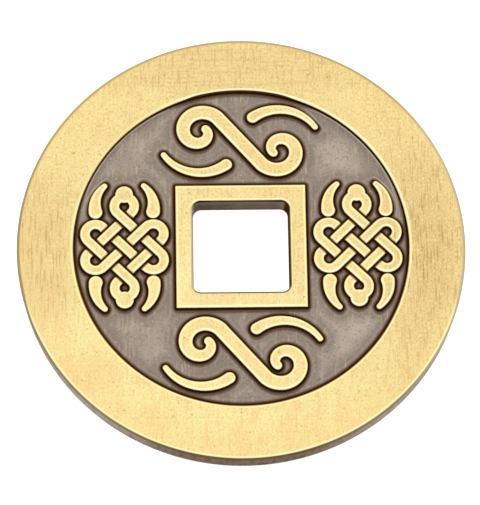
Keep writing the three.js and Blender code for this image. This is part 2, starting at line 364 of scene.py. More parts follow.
def knot_half(pitch, loop_y, dips_first):
    """Half of the knot's band, which dips under the other half at every second crossing."""
    edge = pitch + KNOT_BAND / 2 + KNOT_NOTCH
    dip_run = KNOT_NOTCH - 2 * DIP_MARGIN
    loop_turn = math.radians(135) - KNOT_BURIED
    pen = Pen(KNOT_LOOP * math.sin(KNOT_BURIED), loop_y + KNOT_LOOP * math.cos(KNOT_BURIED), -KNOT_BURIED)
    outer_dips = [dips_first, not dips_first, dips_first]
    middle_dips = [not dips for dips in outer_dips]

    def slope(down):
        for i in range(DIP_STEPS):
            share = (i + 1) / DIP_STEPS if down else 1 - (i + 1) / DIP_STEPS
            pen.dip = KNOT_DIP * (share - DIP_EASE * math.sin(TAU * share) / TAU)
            pen.forward(dip_run / DIP_STEPS)

    def run(lead, tail, dips):
        gap = lead
        for under in dips:
            if under:
                pen.forward(gap - KNOT_BAND / 2 - dip_run - DIP_MARGIN)
                pen.forward(DIP_MARGIN)
                slope(True)
                pen.forward(KNOT_BAND)
                slope(False)
                pen.forward(DIP_MARGIN)
            gap = pitch - KNOT_BAND / 2 - dip_run - DIP_MARGIN if under else gap + pitch
        pen.forward(gap - pitch + tail)
    pen.arc(KNOT_LOOP, -loop_turn, LOOP_STEPS)
    run(KNOT_LOOP, edge - pitch, outer_dips)
    pen.arc(pitch / 2, math.pi, TURN_STEPS)
    run(edge - pitch, edge - pitch, middle_dips)
    pen.arc(pitch / 2, -math.pi, TURN_STEPS)
    run(edge - pitch, KNOT_LOOP, outer_dips)
    pen.arc(KNOT_LOOP, loop_turn, LOOP_STEPS)
    return pen.marks


def knot_bead(x, y):
    angles = np.arange(BEAD_STEPS) / BEAD_STEPS * TAU
    rings = [np.stack([x + (KNOT_BEAD - inset) * np.cos(angles), y + (KNOT_BEAD - inset) * np.sin(angles),
                       np.full(BEAD_STEPS, FIELD_TOP + rise)], 1) for inset, rise in wall_profile(RELIEF)]
    return skin(rings, capped=True)


def knot_leaves(x, loop_y):
    inner = KNOT_LOOP + KNOT_BAND / 2 + LEAF_GAP
    outer = ORNAMENT_OUTER - math.hypot(x, loop_y)
    radius = (inner + outer) / 2
    upper = spiral((0, loop_y), radius, radius, KNOT_LEAF_START, KNOT_LEAF_TURN, LEAF_STEPS)
    lower = half_turned(upper)
    leaves = {"upper_right": upper, "upper_left": mirrored(upper),
              "lower_left": lower, "lower_right": mirrored(lower)}
    return {name: (marks, tapering(marks, outer - inner, LEAF_TIP)) for name, marks in leaves.items()}


# Coin body

def rim_form():
    edge = quarter_round(EDGE_ROUND, EDGE_STEPS)
    shoulder = EDGE_ROUND + EDGE_BEVEL
    drop = EDGE_BEVEL * math.tan(LIP_TILT)
    back_radius = COIN_RADIUS - (THICKNESS - EDGE_ROUND) * math.tan(EDGE_DRAFT)
    profile = [(COIN_RADIUS - shoulder - FLAT_MARGIN, THICKNESS), (COIN_RADIUS - shoulder, THICKNESS)]
    profile += [(COIN_RADIUS - inset, THICKNESS - drop + rise) for inset, rise in reversed(edge[:-1])]
    profile += [(back_radius - inset, -rise) for inset, rise in edge]
    profile += [(back_radius - EDGE_ROUND - FLAT_MARGIN, 0)]
    profile += [(FIELD_RADIUS + inset, FIELD_BOTTOM - rise)
                for inset, rise in reversed(wall_profile(FIELD_BOTTOM, RIM_LIP_ROUND))]
    profile += [(FIELD_RADIUS + inset, FIELD_TOP + rise)
                for inset, rise in wall_profile(RELIEF, RIM_LIP_ROUND)]
    return skin([circle(radius, z) for radius, z in profile], endless=True)


def frame_form():
    def outside(inset, z):
        return rounded_square(FRAME_HALF - inset, max(FRAME_CORNER - inset, FRAME_CORNER / 4), z)

    def inside(inset, z):
        half = HOLE_HALF - (THICKNESS - z) * math.tan(HOLE_DRAFT)
        return rounded_square(half + inset, HOLE_CORNER + inset, z)
    mouth = quarter_round(HOLE_ROUND, EDGE_STEPS)
    mouth.append((HOLE_ROUND + FLAT_MARGIN, 0))
    rings = [outside(inset, FIELD_TOP + rise) for inset, rise in wall_profile(RELIEF)]
    rings += [inside(inset, THICKNESS + rise) for inset, rise in reversed(mouth)]
    rings += [inside(inset, -rise) for inset, rise in mouth]
    rings += [outside(inset, FIELD_BOTTOM - rise) for inset, rise in reversed(wall_profile(FIELD_BOTTOM))]
    return skin(rings, endless=True)


def gap_to_stroke(points, marks, widths):
    """How far points lie outside a stroke's foot, in millimetres."""
    gap = np.full(len(points), np.inf)
    for (x0, y0, _, _), (x1, y1, _, _), w0, w1 in zip(marks, marks[1:], widths, widths[1:]):
        start, along = np.array([x0, y0]), np.array([x1 - x0, y1 - y0])
        share = np.clip((points - start) @ along / max(along @ along, TINY), 0, 1)
        away = np.hypot(*(points - start - share[:, None] * along).T)
        gap = np.minimum(gap, away - (w0 + share * (w1 - w0)) / 2)
    return gap


def gap_to_walls(points, strokes, beads):
    """How far points of the field lie from the nearest raised wall, true up to GAP_REACH."""
    gap = FIELD_RADIUS - np.hypot(*points.T)
    corner = np.abs(points) - (FRAME_HALF - FRAME_CORNER)
    to_frame = np.hypot(*np.maximum(corner, 0).T) + np.minimum(corner.max(1), 0) - FRAME_CORNER
    gap = np.minimum(gap, to_frame)
    for marks, widths in strokes:
        places = np.array([mark[:2] for mark in marks])
        reach = max(widths) + GAP_REACH
        near = np.all((points > places.min(0) - reach) & (points < places.max(0) + reach), axis=1)
        gap[near] = np.minimum(gap[near], gap_to_stroke(points[near], marks, widths))
    for x, y in beads:
        gap = np.minimum(gap, np.hypot(points[:, 0] - x, points[:, 1] - y) - KNOT_BEAD)
    return gap


def square_reach(half, corner, across, up):
    """Distance from the middle of a rounded square to its outline along unit directions."""
    reach = half / np.maximum(np.abs(across), np.abs(up))
    inner = half - corner
    turned = np.minimum(np.abs(across), np.abs(up)) * reach > inner
    lean = (np.abs(across) + np.abs(up)) * inner
    round_reach = lean + np.sqrt(np.maximum(lean ** 2 - 2 * inner ** 2 + corner ** 2, 0))
    return np.where(turned, round_reach, reach)


def swell(x, y):
    """A gentle and uneven wave, from -1 to 1, over places in millimetres."""
    return np.sin(0.9 * x + 1.3 * np.sin(0.5 * y)) * np.sin(0.7 * y + 1.1 * np.sin(0.6 * x + 2))


def field_form(strokes, beads):
    """The sunken web: both faces dip and swell a little, with a cove along each wall's foot."""
    angles = np.arange(FIELD_AROUND) / FIELD_AROUND * TAU
    across, up = np.cos(angles), np.sin(angles)
    start = square_reach(FRAME_HALF - FIELD_TUCK, FRAME_CORNER, across, up)
    end = FIELD_RADIUS + FIELD_TUCK

    def ring(share):
        radius = end + (start - end) * share
        return np.stack([radius * across, radius * up], 1)

    def face(level, sign, rings, strokes, beads):
        points = np.concatenate([ring(i / rings) for i in range(rings + 1)])
        gap = gap_to_walls(points, strokes, beads)
        cove = COVE_RISE * np.clip(1 - gap / COVE_REACH, 0, 1) ** 2
        wave = FIELD_WAVE * swell(*points.T) * np.clip(gap / WAVE_CALM, 0, 1)
        z = level + sign * (cove + wave)
        shifts = {"wall_gap": -FOOT_PATINA_AND_SHADE_SHIFT, "shadow_gap": SHADOW_SHIFT}
        gaps = {name: gap_to_walls(points + (0, shift), strokes, beads) for name, shift in shifts.items()}
        return np.column_stack([points, z]).reshape(rings + 1, FIELD_AROUND, 3), gaps

    def turned(values):
        return values.reshape(FIELD_RINGS + 1, FIELD_AROUND)[::-1].ravel()
    top, top_gaps = face(FIELD_TOP, 1, FIELD_RINGS, strokes, beads)
    bottom, bottom_gaps = face(FIELD_BOTTOM, -1, FIELD_RINGS, [], [])
    gaps = {name: np.concatenate([top_gaps[name], turned(bottom_gaps[name])]) for name in top_gaps}
    return skin([*top, *bottom[::-1]], endless=True), gaps


def field_object(name, strokes, beads):
    form, gaps = field_form(strokes, beads)
    piece = make_object(name, form, welded=False)
    for gap_name, gap in gaps.items():
        stored = piece.data.attributes.new(gap_name, "FLOAT", "POINT")
        stored.data.foreach_set("value", gap.astype(np.float32))
    return piece


# Materials

def colour(red, green, blue):
    """A colour given as it shows on a screen, 0 to 255, as a shader's colour."""
    def linear(value):
        value /= 255
        return value / 12.92 if value <= 0.04045 else ((value + 0.055) / 1.055) ** 2.4
    return (linear(red), linear(green), linear(blue), 1)


BUMP_DEPTH = 0.006
BRASS_METAL = 0.95
PATINA_METAL = 0.2
PATINA_GLOSS = 0.1

# Tones of the brushed brass; the pale tones and the near copies of mottle and grain are painted light towards
# the near left, the shaded tone painted shade
BRASS_PAINTED_LIGHT = colour(255, 239, 168)
FRAME_PAINTED_LIGHT = colour(255, 241, 175)
BRASS_LOW = colour(251, 226, 157)
BRASS_HIGH = colour(255, 234, 166)
BRASS_OUTER = colour(254, 230, 157)
BRASS_WARM = colour(252, 218, 148)
BRASS_BLUSH = colour(253, 217, 151)
MOTTLE_FAR = colour(240, 208, 139)
MOTTLE_NEAR = colour(253, 216, 148)
SHADED_BRASS = colour(229, 194, 131)
STREAKED_BRASS = colour(196, 158, 98)
WOVEN_BRASS = colour(214, 182, 120)
GRAIN_FAR = colour(216, 173, 108)
GRAIN_NEAR = colour(238, 194, 126)
GRAIN_PALE = colour(255, 243, 186)
PINHOLE = colour(176, 138, 80)

# Tones of the walls at the field, and of the lips over them; the lips' tones are wear with a painted
# highlight, brighter where a lip faces the near side
WALL_DARK = colour(48, 22, 10)
WALL_BROWN = colour(66, 38, 22)
LINE_BROWN = colour(104, 66, 34)
LINE_ORANGE = colour(196, 120, 44)
LIP_WEAR_AND_HIGHLIGHT = colour(255, 248, 180)
LIP_PAINTED_HIGHLIGHT = colour(255, 255, 206)
LIP_LEFT = colour(250, 234, 166)

# Tones of the coin's edge; the line under the lip is a painted shadow and the near lip tone a painted
# highlight
EDGE_NEAR = colour(160, 137, 120)
EDGE_SIDE = colour(212, 197, 184)
EDGE_FOOT = colour(200, 186, 172)
STREAKS_NEAR = colour(94, 76, 64)
STREAKS_SIDE = colour(164, 146, 131)
OLIVE_NEAR = colour(128, 105, 74)
OLIVE_SIDE = colour(170, 150, 112)
OLIVE_MIDDLE = colour(186, 163, 116)
OLIVE_FAR = colour(206, 180, 124)
OLIVE_RIGHT = colour(232, 214, 170)
EDGE_LIP_PAINTED_HIGHLIGHT = colour(255, 250, 188)
EDGE_LIP_AWAY = colour(240, 212, 148)
EDGE_LIP_FAR = colour(222, 194, 134)

# Tones of the hole's walls and mouth; the high tone is a painted highlight, and the side and mouth tones are
# painted light and shade by the way they face
HOLE_LEFT = colour(122, 108, 102)
HOLE_RIGHT = colour(150, 132, 122)
HOLE_PALE_END = colour(196, 184, 174)
HOLE_GRAIN = colour(164, 146, 132)
HOLE_PAINTED_HIGHLIGHT = colour(176, 154, 136)
HOLE_FOOT = colour(48, 30, 22)
HOLE_LINE_MIDDLE = colour(112, 74, 38)
HOLE_LINE_END = colour(58, 32, 14)
HOLE_SIDE_LEFT = colour(206, 192, 178)
HOLE_SIDE_RIGHT = colour(84, 54, 28)
MOUTH_NEAR = colour(112, 84, 42)
MOUTH_LEFT = colour(250, 228, 172)
MOUTH_RIGHT = colour(156, 122, 70)

# Tones of the field's patina
PATINA_CLOSED = colour(156, 140, 127)
PATINA_OPEN = colour(206, 190, 174)
PATINA_STREAK = colour(208, 191, 174)
PATINA_GRAIN = colour(118, 102, 90)
PATINA_SCRATCH = colour(214, 198, 162)
PATINA_SPECK = colour(212, 196, 162)
# A painted highlight, a painted shadow, and the wall feet's tones, which are partly patina and partly painted
# shade
PAINTED_FOOT_HIGHLIGHT = colour(204, 190, 178)
PATINA_SHADOW = colour(84, 62, 46)
FOOT_PATINA_AND_SHADE_BROWN = colour(150, 112, 80)
FOOT_PATINA_AND_SHADE_DARK = colour(44, 20, 9)

# Where one tone turns into the next, in millimetres; far is the high side of the photograph
BRASS_PAINTED_LIGHT_SPAN = (0, 30)
FRAME_PAINTED_LIGHT_SPAN = (-4, 8)
PAINTED_LIGHT_SLANT = 1.7
BURIED_BELOW = (0.2, 0.12)
RIM_OUTER_BAND = (18.3, 21)
RIGHT_SHADE_X = (12, 19)
RIGHT_SHADE_Y = (12, 2)
RIGHT_SHADE_RADIUS = (20, 22)
LEFT_SHADE_X = (-15, -18.5)
LEFT_SHADE_Y = (10, 4)
FAR_SHADE_Y = (15.8, 18.4)
WOVEN_X = (13, 6)
WOVEN_Y = (10, 18)
LIP_TOP = (THICKNESS - 0.07, THICKNESS - 0.04)
LIP_LINE = (THICKNESS - 0.24, THICKNESS - 0.13)
LIP_LINE_LIFT = 0.14
LEFTWARD_X = (-4, -12)
FAR_MIDDLE_X = (7, 4)
FAR_MIDDLE_Y = (0, 5)
LIP_LEFT_Y = (2, 8)
EDGE_RADIUS = (20, 21)
EDGE_SIDE_X = (5, 15)
EDGE_AWAY_Y = (-9, -4)
EDGE_FOOT_Z = (0.8, 0)
EDGE_LIP_SHADOW_Z = (THICKNESS - 0.45, THICKNESS - 0.2)
OLIVE_FAR_Y = (0, 16)
OLIVE_RIGHT_X = (14, 20)
EDGE_LIP_FAR_Y = (6, 16)
HOLE_REACH = (5.6, 5.4)
HOLE_ACROSS_X = (-4.5, 4.5)
HOLE_PALE_END_X = (3.4, 4.4)
HOLE_PAINTED_HIGHLIGHT_Z = (THICKNESS - 1, THICKNESS - 0.6)
HOLE_FOOT_Z = (0.3, 0)
HOLE_LINE = (THICKNESS - 0.6, THICKNESS - 0.42)
HOLE_LINE_END_X = (2.4, 4)
MOUTH_LINE = (THICKNESS - 0.22, THICKNESS - 0.1)
FLANK_X = (5, 9)
FLANK_Y = (1, 8)
FLANK_RADIUS = (15.2, 16)
FLANK_SHIFT = 0.3

# Parts of a face's normal between which it turns to face one way
FACES_FAR = (-0.15, 0.3)
FACES_NEAR = (0, -0.12)
FACES_RIGHT = (0.7, 1)
FACES_LEFT = (-0.3, -0.7)
MOUTH_FACES_RIGHT = (0.1, 0.5)
MOUTH_FACES_LEFT = (-0.1, -0.5)
WEAR_AND_HIGHLIGHT_FACING = (0.9985, 0.996)

# How level a face is where its brass begins, and where it is whole, on both sides of a turn
RELIEF_BEGINS, RELIEF_WHOLE = (0.35, 0.6), (0.6, 0.9)
RIM_BEGINS, RIM_WHOLE = (0.3, 0.87), (0.5, 0.985)
EDGE_BEGINS, EDGE_WHOLE = (0.88, 0.978), (0.985, 0.993)
HOLE_BEGINS, HOLE_WHOLE = 0.9, 0.97
RIM_LEFT_BEGINS, RIM_LEFT_WHOLE = 0.06, 0.1
HOLE_LEAN_X, HOLE_LEAN_Y = 0.12, 0.5


class Shader:
    """A material whose nodes are added one after the other."""

    def __init__(self, name):
        self.material = bpy.data.materials.new(name)
        self.material.use_nodes = True
        self.tree = self.material.node_tree
        self.surface = self.tree.nodes["Principled BSDF"]
        self.place = self.add("ShaderNodeTexCoord").outputs["Object"]
        self.x, self.y, self.z = self.parts(self.place)
        across, up = self.math("POWER", self.x, 2.0), self.math("POWER", self.y, 2.0)
        self.radius = self.math("SQRT", self.math("ADD", across, up))
        normal = self.add("ShaderNodeNewGeometry").outputs["Normal"]
        self.lean_x, self.lean_y, self.facing = self.parts(normal)

    def add(self, kind, **settings):
        node = self.tree.nodes.new(kind)
        for name, value in settings.items():
            setattr(node, name, value)
        return node

    def feed(self, socket, value):
        """Links the socket to value where that is a node's output, and sets it to value otherwise."""
        if isinstance(value, bpy.types.NodeSocket):
            self.tree.links.new(value, socket)
        else:
            socket.default_value = value

    def parts(self, vector):
        node = self.add("ShaderNodeSeparateXYZ")
        self.feed(node.inputs[0], vector)
        return node.outputs

    def math(self, operation, first, second=0.0):
        node = self.add("ShaderNodeMath", operation=operation)
        self.feed(node.inputs[0], first)
        self.feed(node.inputs[1], second)
        return node.outputs[0]

    def times(self, first, second):
        return self.math("MULTIPLY", first, second)

    def most(self, first, second):
        return self.math("MAXIMUM", first, second)

    def off_zero(self, value):
        return self.math("ABSOLUTE", value)

    def ramp(self, value, low, high, start=0.0, end=1.0):
        """A smooth change from start, where value is low, to end, where it is high."""
        node = self.add("ShaderNodeMapRange", interpolation_type="SMOOTHSTEP")
        for socket, given in zip(node.inputs, (value, low, high, start, end)):
            self.feed(socket, given)
        return node.outputs[0]

    def span(self, value, low, high, start=0.0, end=1.0):
        """The same between two places in millimetres."""
        return self.ramp(value, low * MM, high * MM, start, end)

    def mix(self, share, first, second):
        node = self.add("ShaderNodeMix", data_type="RGBA")
        self.feed(node.inputs["Factor"], share)
        self.feed(node.inputs[6], first)
        self.feed(node.inputs[7], second)
        return node.outputs[2]

    def noise(self, size, detail=2.0, stretch=(1, 1, 1), shift=0.0):
        """Noise whose grains are size millimetres across, times stretch along each axis."""
        mapping = self.add("ShaderNodeMapping")
        self.feed(mapping.inputs["Vector"], self.place)
        mapping.inputs["Location"].default_value = (shift, shift, shift)
        mapping.inputs["Scale"].default_value = [1 / (size * MM * s) for s in stretch]
        node = self.add("ShaderNodeTexNoise")
        self.feed(node.inputs["Vector"], mapping.outputs[0])
        node.inputs["Scale"].default_value = 1
        node.inputs["Detail"].default_value = detail
        node.inputs["Roughness"].default_value = 0.5
        return node.outputs[0]

    def stored(self, name):
        """A value that the mesh keeps at its points."""
        return self.add("ShaderNodeAttribute", attribute_name=name).outputs["Fac"]

    def bump(self, height, depth):
        """Raises the surface by height, which is 0 to 1, times depth in millimetres."""
        node = self.add("ShaderNodeBump")
        node.inputs["Distance"].default_value = depth * MM
        self.feed(node.inputs["Height"], height)
        self.feed(self.surface.inputs["Normal"], node.outputs[0])

    def finish(self, **sockets):
        """Feeds the surface's sockets, whose names here have _ for each space."""
        for name, value in sockets.items():
            self.feed(self.surface.inputs[name.replace("_", " ")], value)
        return self.material


def clouded(s, near, pale):
    """The brass's broad patches, under painted light that makes them paler towards the near left."""
    cloud = s.noise(3.5, detail=3, stretch=(1, 1.6, 1), shift=7)
    warm = s.noise(4.5, stretch=(1, 1.3, 1), shift=17)
    blush = s.noise(1.7, stretch=(1, 2.4, 1), shift=27)
    mottle = s.noise(0.7, detail=3, stretch=(1, 1.5, 1), shift=21)
    tone = s.mix(s.ramp(cloud, 0.35, 0.7), BRASS_LOW, BRASS_HIGH)
    tone = s.mix(near, tone, pale)
    tone = s.mix(s.span(s.radius, *RIM_OUTER_BAND, 0, 0.7), tone, BRASS_OUTER)
    tone = s.mix(s.ramp(warm, 0.48, 0.68, 0, 0.3), tone, BRASS_WARM)
    tone = s.mix(s.times(near, s.ramp(blush, 0.48, 0.64, 0, 0.5)), tone, BRASS_BLUSH)
    return s.mix(s.ramp(mottle, 0.5, 0.72, 0, 0.6), tone, s.mix(near, MOTTLE_FAR, MOTTLE_NEAR))


def rim_shade(s):
    """How much painted shade, which stands for the brushed metal's changing reflection, darkens the rim on
    its right, left and far side.
    """
    off_middle = s.off_zero(s.y)
    right = s.times(s.span(s.x, *RIGHT_SHADE_X), s.span(off_middle, *RIGHT_SHADE_Y, 0.55, 1.1))
    right = s.times(right, s.span(s.radius, *RIGHT_SHADE_RADIUS, 1, 0.5))
    left = s.times(s.span(s.x, *LEFT_SHADE_X, 0, 0.6), s.span(off_middle, *LEFT_SHADE_Y))
    return s.most(s.most(right, left), s.span(s.y, *FAR_SHADE_Y, 0, 0.4))


def brushed(s, tone, streak):
    """The tone under the rim's painted shade, with streaks along the brushing that show more where it is
    shaded, and a weave on the far side.
    """
    shade = rim_shade(s)
    tone = s.mix(s.times(shade, 0.65), tone, SHADED_BRASS)
    lines = s.times(s.ramp(streak, 0.48, 0.72), s.math("ADD", 0.2, shade))
    tone = s.mix(s.times(lines, 0.8), tone, STREAKED_BRASS)
    weave = s.noise(0.24, detail=3, stretch=(16, 1, 16), shift=13)
    woven = s.times(s.span(s.y, *WOVEN_Y), s.span(s.off_zero(s.x), *WOVEN_X))
    threads = s.times(s.ramp(weave, 0.5, 0.7), s.ramp(woven, 0, 1, 0.1, 0.42))
    return s.mix(threads, tone, WOVEN_BRASS)


def grained(s, tone, near, grain):
    # The grain's near copy is lighter, following the painted light towards the near left
    tone = s.mix(s.ramp(grain, 0.5, 0.76, 0, 0.66), tone, s.mix(near, GRAIN_FAR, GRAIN_NEAR))
    tone = s.mix(s.ramp(grain, 0.46, 0.25, 0, 0.8), tone, GRAIN_PALE)
    pinholes = s.ramp(s.noise(0.4, detail=1, shift=11), 0.72, 0.79, 0, 0.6)
    return s.mix(pinholes, tone, PINHOLE)


def brass(name, wall, paling=BRASS_PAINTED_LIGHT_SPAN, pale=BRASS_PAINTED_LIGHT):
    """Brushed brass on the faces, with wear and a painted highlight making the lips paler, over patina where
    the walls fall steeper.

    wall(shader) gives the walls' colour, the lips' colour and how level a face is where brass begins
    and where it is whole. The brass turns to the pale tone along paling, towards the near left, as painted
    light."""
    s = Shader(name)
    wall_tone, lip_tone, low, high = wall(s)
    buried = s.math("MINIMUM", s.z, s.math("SUBTRACT", THICKNESS * MM, s.z))
    face = s.times(s.ramp(s.off_zero(s.facing), low, high), s.span(buried, *BURIED_BELOW))
    streak = s.noise(0.18, detail=3, stretch=(1, 12, 12))
    grain = s.noise(0.2, stretch=(1, 1.3, 1), shift=3)
    # near is painted light: it grows towards the near left, where the brass is made paler
    near = s.span(s.math("ADD", s.x, s.times(s.y, PAINTED_LIGHT_SLANT)), -paling[0], -paling[1])
    tone = grained(s, brushed(s, clouded(s, near, pale), streak), near, grain)
    # Lips: wear and a painted highlight, by how steeply the face tilts
    wear_and_highlight = s.times(s.ramp(s.facing, low, high), s.ramp(s.facing, *WEAR_AND_HIGHLIGHT_FACING))
    tone = s.mix(s.times(wear_and_highlight, s.span(s.z, *LIP_TOP)), tone, lip_tone)
    rough = s.ramp(streak, 0.3, 0.7, 0.3, 0.42)
    s.bump(s.math("ADD", streak, grain), BUMP_DEPTH)
    s.surface.inputs["Specular IOR Level"].default_value = 0
    return s.finish(Base_Color=s.mix(face, wall_tone, tone), Metallic=s.times(face, BRASS_METAL),
                    Roughness=s.ramp(face, 0, 1, 0.5, rough))


def dark_tones(s, lift=0.0):
    """Near-black patina with a line right under the lip, orange-brown where it faces the far side.

    The line reaches further down by lift, in metres. The last value is 1 where the wall faces that side."""
    grain = s.noise(0.3, shift=5)
    brown = s.mix(s.ramp(grain, 0.35, 0.7), WALL_DARK, WALL_BROWN)
    far = s.ramp(s.lean_y, *FACES_FAR)
    line = s.span(s.math("ADD", s.z, lift), *LIP_LINE)
    # The lip's tone: wear with a painted highlight, brighter where the lip faces the near side
    lip = s.mix(s.ramp(s.lean_y, *FACES_NEAR), LIP_WEAR_AND_HIGHLIGHT, LIP_PAINTED_HIGHLIGHT)
    return s.mix(line, brown, s.mix(far, LINE_BROWN, LINE_ORANGE)), lip, far


def dark_wall(s):
    wall, lip, far = dark_tones(s)
    return wall, lip, s.ramp(far, 0, 1, *RELIEF_BEGINS), s.ramp(far, 0, 1, *RELIEF_WHOLE)


def rim_inner_wall(s):
    """The dark wall, whose brass ends earlier on the near side and at the middle of the far side."""
    leftward = s.span(s.x, *LEFTWARD_X)
    wall, lip, far = dark_tones(s, s.times(leftward, LIP_LINE_LIFT * MM))
    far_middle = s.times(s.span(s.off_zero(s.x), *FAR_MIDDLE_X), s.span(s.y, *FAR_MIDDLE_Y))
    early = s.most(far, far_middle)
    # On the rim's far left the lip's painted highlight is duller
    lip = s.mix(s.times(s.span(s.y, *LIP_LEFT_Y), leftward), lip, LIP_LEFT)
    low = s.math("SUBTRACT", s.ramp(early, 0, 1, *RIM_BEGINS), s.times(leftward, RIM_LEFT_BEGINS))
    high = s.math("SUBTRACT", s.ramp(early, 0, 1, *RIM_WHOLE), s.times(leftward, RIM_LEFT_WHOLE))
    return wall, lip, low, high


def coin_edge(s):
    """Round the coin, a painted shadow line under the lip over a wall that pales to the sides and down, with
    a painted highlight on the lip's near side.
    """
    grain = s.noise(0.5, detail=3, stretch=(1, 1, 3), shift=5)
    sideways = s.span(s.off_zero(s.x), *EDGE_SIDE_X)
    away = s.span(s.y, *EDGE_AWAY_Y)
    below_line = s.mix(sideways, EDGE_NEAR, EDGE_SIDE)
    below_line = s.mix(s.span(s.z, *EDGE_FOOT_Z, 0, 0.5), below_line, EDGE_FOOT)
    streaks = s.mix(sideways, STREAKS_NEAR, STREAKS_SIDE)
    below_line = s.mix(s.ramp(grain, 0.4, 0.7, 0, 0.55), below_line, streaks)
    lip_shadow = s.mix(sideways, OLIVE_NEAR, OLIVE_SIDE)
    lip_shadow = s.mix(away, lip_shadow, s.mix(s.span(s.y, *OLIVE_FAR_Y), OLIVE_MIDDLE, OLIVE_FAR))
    lip_shadow = s.mix(s.span(s.x, *OLIVE_RIGHT_X, 0, 0.8), lip_shadow, OLIVE_RIGHT)
    # The lip's painted highlight, brightest on the near side
    lip = s.mix(away, EDGE_LIP_PAINTED_HIGHLIGHT, EDGE_LIP_AWAY)
    lip = s.mix(s.span(s.y, *EDGE_LIP_FAR_Y), lip, EDGE_LIP_FAR)
    # A painted shadow line under the lip
    wall = s.mix(s.span(s.z, *EDGE_LIP_SHADOW_Z), below_line, lip_shadow)
    return wall, lip, s.ramp(away, 0, 1, *EDGE_BEGINS), s.ramp(away, 0, 1, *EDGE_WHOLE)


def rim_wall(s):
    inner, inner_lip, inner_low, inner_high = rim_inner_wall(s)
    outer, outer_lip, outer_low, outer_high = coin_edge(s)
    outside = s.span(s.radius, *EDGE_RADIUS)
    return (s.mix(outside, inner, outer), s.mix(outside, inner_lip, outer_lip),
            s.ramp(outside, 0, 1, inner_low, outer_low), s.ramp(outside, 0, 1, inner_high, outer_high))


def hole_wall(s):
    """In the hole, a warm dark line under the mouth over a wall that pales to the right, with a painted
    highlight band high up and darker towards the bottom; the wall and mouth facing right are pale with
    painted light, the wall facing left dark with painted shade.
    """
    grain = s.noise(0.5, detail=3, stretch=(1, 1, 3), shift=5)
    below_line = s.mix(s.span(s.x, *HOLE_ACROSS_X), HOLE_LEFT, HOLE_RIGHT)
    below_line = s.mix(s.span(s.x, *HOLE_PALE_END_X, 0, 0.6), below_line, HOLE_PALE_END)
    below_line = s.mix(s.ramp(grain, 0.4, 0.75, 0, 0.35), below_line, HOLE_GRAIN)
    # A painted highlight band high on the wall
    below_line = s.mix(s.span(s.z, *HOLE_PAINTED_HIGHLIGHT_Z, 0, 0.6), below_line, HOLE_PAINTED_HIGHLIGHT)
    below_line = s.mix(s.span(s.z, *HOLE_FOOT_Z, 0, 0.7), below_line, HOLE_FOOT)
    line = s.mix(s.span(s.off_zero(s.x), *HOLE_LINE_END_X), HOLE_LINE_MIDDLE, HOLE_LINE_END)
    wall = s.mix(s.span(s.z, *HOLE_LINE), below_line, line)
    # Side walls: the one facing right pale with painted light, the one facing left dark with painted shade
    wall = s.mix(s.ramp(s.lean_x, *FACES_RIGHT), wall, HOLE_SIDE_LEFT)
    wall = s.mix(s.ramp(s.lean_x, *FACES_LEFT), wall, HOLE_SIDE_RIGHT)
    # The mouth: pale with painted light where it faces right, darker elsewhere
    mouth = s.mix(s.ramp(s.lean_x, *MOUTH_FACES_RIGHT), MOUTH_NEAR, MOUTH_LEFT)
    mouth = s.mix(s.ramp(s.lean_x, *MOUTH_FACES_LEFT), mouth, MOUTH_RIGHT)
    wall = s.mix(s.span(s.z, *MOUTH_LINE), wall, mouth)
    away = s.math("ADD", s.times(s.lean_y, HOLE_LEAN_Y), s.times(s.lean_x, HOLE_LEAN_X))
    return wall, s.math("ADD", away, HOLE_BEGINS), s.math("ADD", away, HOLE_WHOLE)


def frame_wall(s):
    """The dark wall outside, and the hole's wall inside."""
    outer, lip, low, high = dark_wall(s)
    inner, inner_low, inner_high = hole_wall(s)
    within = s.span(s.most(s.off_zero(s.x), s.off_zero(s.y)), *HOLE_REACH)
    return (s.mix(within, outer, inner), lip,
            s.ramp(within, 0, 1, low, inner_low), s.ramp(within, 0, 1, high, inner_high))


def rubbed_patina(s, gap, streak, grain):
    """Grey-brown that pales in the open, with streaks, grain, short scratches and specks."""
    cloud = s.noise(5.0, stretch=(1, 1.3, 1))
    hair = s.noise(0.16, detail=1, stretch=(1, 12, 12), shift=31)
    patch = s.noise(2.2, detail=1, shift=37)
    open_share = s.times(s.ramp(gap, 0.2, 2.2), s.ramp(cloud, 0.35, 0.62, 0.35, 1))
    tone = s.mix(open_share, PATINA_CLOSED, PATINA_OPEN)
    tone = s.mix(s.ramp(streak, 0.5, 0.75, 0, 0.5), tone, PATINA_STREAK)
    tone = s.mix(s.ramp(grain, 0.48, 0.74, 0, 0.48), tone, PATINA_GRAIN)
    scratch = s.times(s.ramp(hair, 0.57, 0.66), s.ramp(patch, 0.48, 0.64))
    tone = s.mix(s.times(scratch, 0.6), tone, PATINA_SCRATCH)
    specks = s.ramp(s.noise(0.24, detail=1, shift=15), 0.66, 0.73, 0, 0.65)
    return s.mix(specks, tone, PATINA_SPECK)


